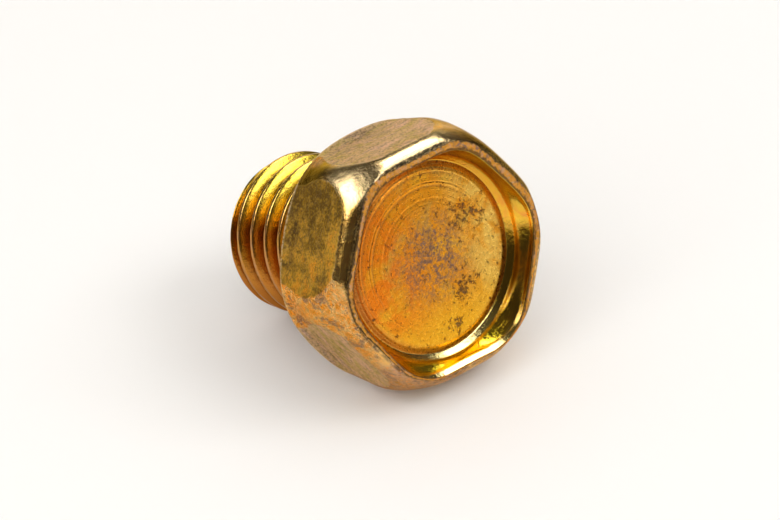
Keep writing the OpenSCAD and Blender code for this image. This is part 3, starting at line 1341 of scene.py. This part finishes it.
# %% [markdown]
# ## Finish of the thread
# Rolled flanks are burnished, so the thread is the brightest gold on the screw. The roots, the under side
# and one more side are painted brown as shade, and the crests have lost some film where they rubbed and
# look pinkish. The side that faces up is painted lemon yellow as a highlight. A vertex attribute holds how
# far each point is up the thread, which puts roots and crests in their place on every turn.

# %% Thread finish
THREAD_YELLOW = rgb(0.94, 0.52, 0.03)
THREAD_GOLD = rgb(0.88, 0.37, 0.015)
THREAD_ORANGE = rgb(0.82, 0.27, 0.02)
# Brown of the painted shade in the roots and on two sides of the thread.
THREAD_SHADE = rgb(0.20, 0.055, 0.005)
THREAD_CREST = rgb(0.50, 0.27, 0.13)
THREAD_HIGHLIGHT = rgb(1.0, 0.78, 0.10)
THREAD_UNDER_SHADE = rgb(0.46, 0.16, 0.025)
UNDER_SIDE = -25
UNDER_REACH = (-1.8, 2.4, 0.0, 0.9)
HIGHLIGHT_THREAD_SIDE = (178, 70)
HIGHLIGHT_THREAD_AMOUNT = 0.75
SHADED_THREAD = (-110, 45)
SHADED_THREAD_AMOUNT = 0.2
ROOT_RISE = (0.85, 0.1)
ROOT_GRIT = (0.75, 1.0)
CREST_RISE = (0.95, 1.0)
CREST_GRIT = (0.3, 0.9)
THREAD_ROUGHNESS = (0.16, 0.26)
THREAD_BUMP = 0.006


def thread_finish():
    """Burnished film of the thread, with painted shade in the roots and on two sides, a painted highlight
    on top, and rubbed crests.
    """
    material, tree, shader = new_finish("thread_finish")
    place = drawing_place(tree)
    colour = place_effect(tree, chromate_film, place, Scale=0.5,
                          Thin=THREAD_YELLOW, Middle=THREAD_GOLD, Thick=THREAD_ORANGE)
    # The under side is painted brown as shade.
    under = span(tree, across(tree, place, UNDER_SIDE), *UNDER_REACH)
    colour = tint(tree, under, colour, THREAD_UNDER_SHADE)
    # The side that faces up is painted lemon yellow as a highlight.
    lemon = times(tree, side_mask(tree, place, *HIGHLIGHT_THREAD_SIDE), HIGHLIGHT_THREAD_AMOUNT)
    colour = tint(tree, lemon, colour, THREAD_HIGHLIGHT)
    # One more side is painted darker as shade.
    shaded = times(tree, side_mask(tree, place, *SHADED_THREAD), SHADED_THREAD_AMOUNT)
    colour = tint(tree, shaded, colour, THREAD_SHADE)
    rise = attribute_value(tree, "thread_rise")
    grit = place_effect(tree, fine_grit, place, Scale=5.0)
    # The roots are painted brown as shade.
    root = times(tree, span(tree, rise, *ROOT_RISE), between(tree, grit, *ROOT_GRIT))
    colour = tint(tree, root, colour, THREAD_SHADE)
    crest = times(tree, span(tree, rise, *CREST_RISE), between(tree, grit, *CREST_GRIT))
    colour = tint(tree, crest, colour, THREAD_CREST)
    tree.links.new(colour, shader.inputs["Base Color"])
    tree.links.new(between(tree, grit, *THREAD_ROUGHNESS), shader.inputs["Roughness"])
    set_inputs(shader, Coat_Weight=0.15, Coat_Roughness=0.1)
    raise_bump(tree, shader, maths(tree, "ADD", grit, noise_value(tree, place, scale=1.2)), THREAD_BUMP)
    return material


print("thread runs from", THREAD_YELLOW[:3], "to", THREAD_SHADE[:3])

# %% [markdown]
# ## Dressing the screw
# The skin wears the five finishes in the order of the numbers that its faces were grown with. It stands
# in for the imported node in pictures and moves with the screw's one body.

# %% Dress the screw
for make_finish in (thread_finish, head_finish, rim_finish, wall_finish, floor_finish):
    plated_screw.data.materials.append(make_finish())
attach(plated_screw, "root")
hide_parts("screw")
print("finishes", [material.name for material in plated_screw.data.materials])

# %% [markdown]
# ## Floor
# The photo's screw lies on plain white paper that is a little warm in the shade. One large square at the
# lowest point of the CAD screw is enough.

# %% Floor
PAPER_SIZE = 2.0
PAPER = (0.95, 0.94, 0.925, 1)

paper_mesh = bmesh.new()
bmesh.ops.create_grid(paper_mesh, x_segments=1, y_segments=1, size=PAPER_SIZE)
bmesh.ops.translate(paper_mesh, verts=paper_mesh.verts, vec=(0, 0, cad_box[0][2]))
paper_data = bpy.data.meshes.new("pale_floor")
paper_mesh.to_mesh(paper_data)
paper_mesh.free()
pale_floor = bpy.data.objects.new("pale_floor", paper_data)
bpy.context.collection.objects.link(pale_floor)
paper, _, paper_shader = new_finish("pale_floor")
set_inputs(paper_shader, Metallic=0.0, Specular_Tint=(1, 1, 1, 1), Base_Color=PAPER, Roughness=0.9)
paper_data.materials.append(paper)
print("floor lies at", round(cad_box[0][2] / MM, 3), "mm")

# %% [markdown]
# ## Camera
# The photo was taken from the front and above with a long lens, slightly rolled. The direction, roll and
# distance were fitted to the outlines of the head, the dish and the thread in the photo, so that the
# render can be laid over it. The camera's axes are built from its azimuth, elevation and roll and written
# into its matrix.

# %% Camera
VIEW_AZIMUTH = math.radians(53.49)
VIEW_ELEVATION = math.radians(31.6)
VIEW_ROLL = math.radians(-6.17)
VIEW_DISTANCE = 182.6
VIEW_LENS = 220
VIEW_RIGHT = 0.185
VIEW_UP = -0.437
VIEW_START = 0.01

towards_camera = Vector((
    math.sin(VIEW_AZIMUTH) * math.cos(VIEW_ELEVATION),
    -math.cos(VIEW_AZIMUTH) * math.cos(VIEW_ELEVATION),
    math.sin(VIEW_ELEVATION),
))
level_right = Vector((math.cos(VIEW_AZIMUTH), math.sin(VIEW_AZIMUTH), 0))
level_up = towards_camera.cross(level_right)
view_right = math.cos(VIEW_ROLL) * level_right + math.sin(VIEW_ROLL) * level_up
view_up = math.cos(VIEW_ROLL) * level_up - math.sin(VIEW_ROLL) * level_right

camera_data = bpy.data.cameras.new("camera")
camera_data.lens = VIEW_LENS
camera_data.clip_start = VIEW_START
camera = bpy.data.objects.new("camera", camera_data)
bpy.context.collection.objects.link(camera)
stand = (towards_camera * VIEW_DISTANCE + view_right * VIEW_RIGHT + view_up * VIEW_UP) * MM
axes = Matrix((view_right, view_up, towards_camera)).transposed().to_4x4()
camera.matrix_world = Matrix.Translation(stand) @ axes
bpy.context.scene.camera = camera
print("camera stands at", [round(value, 4) for value in stand])

# %% [markdown]
# ## Light
# A polished screw looks like whatever stands round it. In the photo its corners mirror a dark room with a
# few bright softboxes, so the world is dark and each softbox stands where a highlight of the photo points
# to. The paper needs softer light than that to keep its shadows pale: a wide fill from above and a
# smaller one from the front light the paper and are hidden from glossy reflections, so the metal keeps
# its contrast. The two brightest softboxes light the metal only.

# %% Light
LAMP_DISTANCE = 0.6
ROOM = (0.075, 0.07, 0.062, 1)
WARM_FILL = (1.0, 0.98, 0.95)

world = bpy.data.worlds.new("studio")
bpy.context.scene.world = world
world.use_nodes = True
set_inputs(world.node_tree.nodes["Background"], Color=ROOM, Strength=1.0)


def softbox(name, azimuth, elevation, width, height, radiance):
    """An area lamp that faces the screw, at angles in degrees, with sizes in metres."""
    lamp = bpy.data.lights.new(name, "AREA")
    lamp.shape = "RECTANGLE"
    lamp.size = width
    lamp.size_y = height
    lamp.energy = radiance * math.pi * width * height
    holder = bpy.data.objects.new(name, lamp)
    bpy.context.collection.objects.link(holder)
    turn = math.radians(azimuth)
    rise = math.radians(elevation)
    towards = Vector((math.cos(turn) * math.cos(rise), math.sin(turn) * math.cos(rise), math.sin(rise)))
    holder.location = towards * LAMP_DISTANCE
    holder.rotation_euler = towards.to_track_quat("Z", "Y").to_euler()
    return holder


left_softbox = softbox("left_softbox", azimuth=-120, elevation=50, width=0.40, height=0.32, radiance=4.9)
left_softbox.visible_diffuse = False
back_softbox = softbox("back_softbox", azimuth=92, elevation=61, width=0.42, height=0.26, radiance=5.4)
back_softbox.visible_diffuse = False
softbox("right_softbox", azimuth=26, elevation=44, width=0.42, height=0.22, radiance=3.8)
softbox("low_card", azimuth=148, elevation=7, width=0.5, height=0.22, radiance=1.6)
paper_fill = softbox("paper_fill", azimuth=0, elevation=90, width=2.4, height=2.4, radiance=0.66)
front_fill = softbox("front_fill", azimuth=-62, elevation=35, width=0.9, height=0.6, radiance=1.35)
for fill in (paper_fill, front_fill):
    fill.visible_glossy = False
    fill.data.color = WARM_FILL
bpy.context.scene.view_settings.view_transform = "Standard"
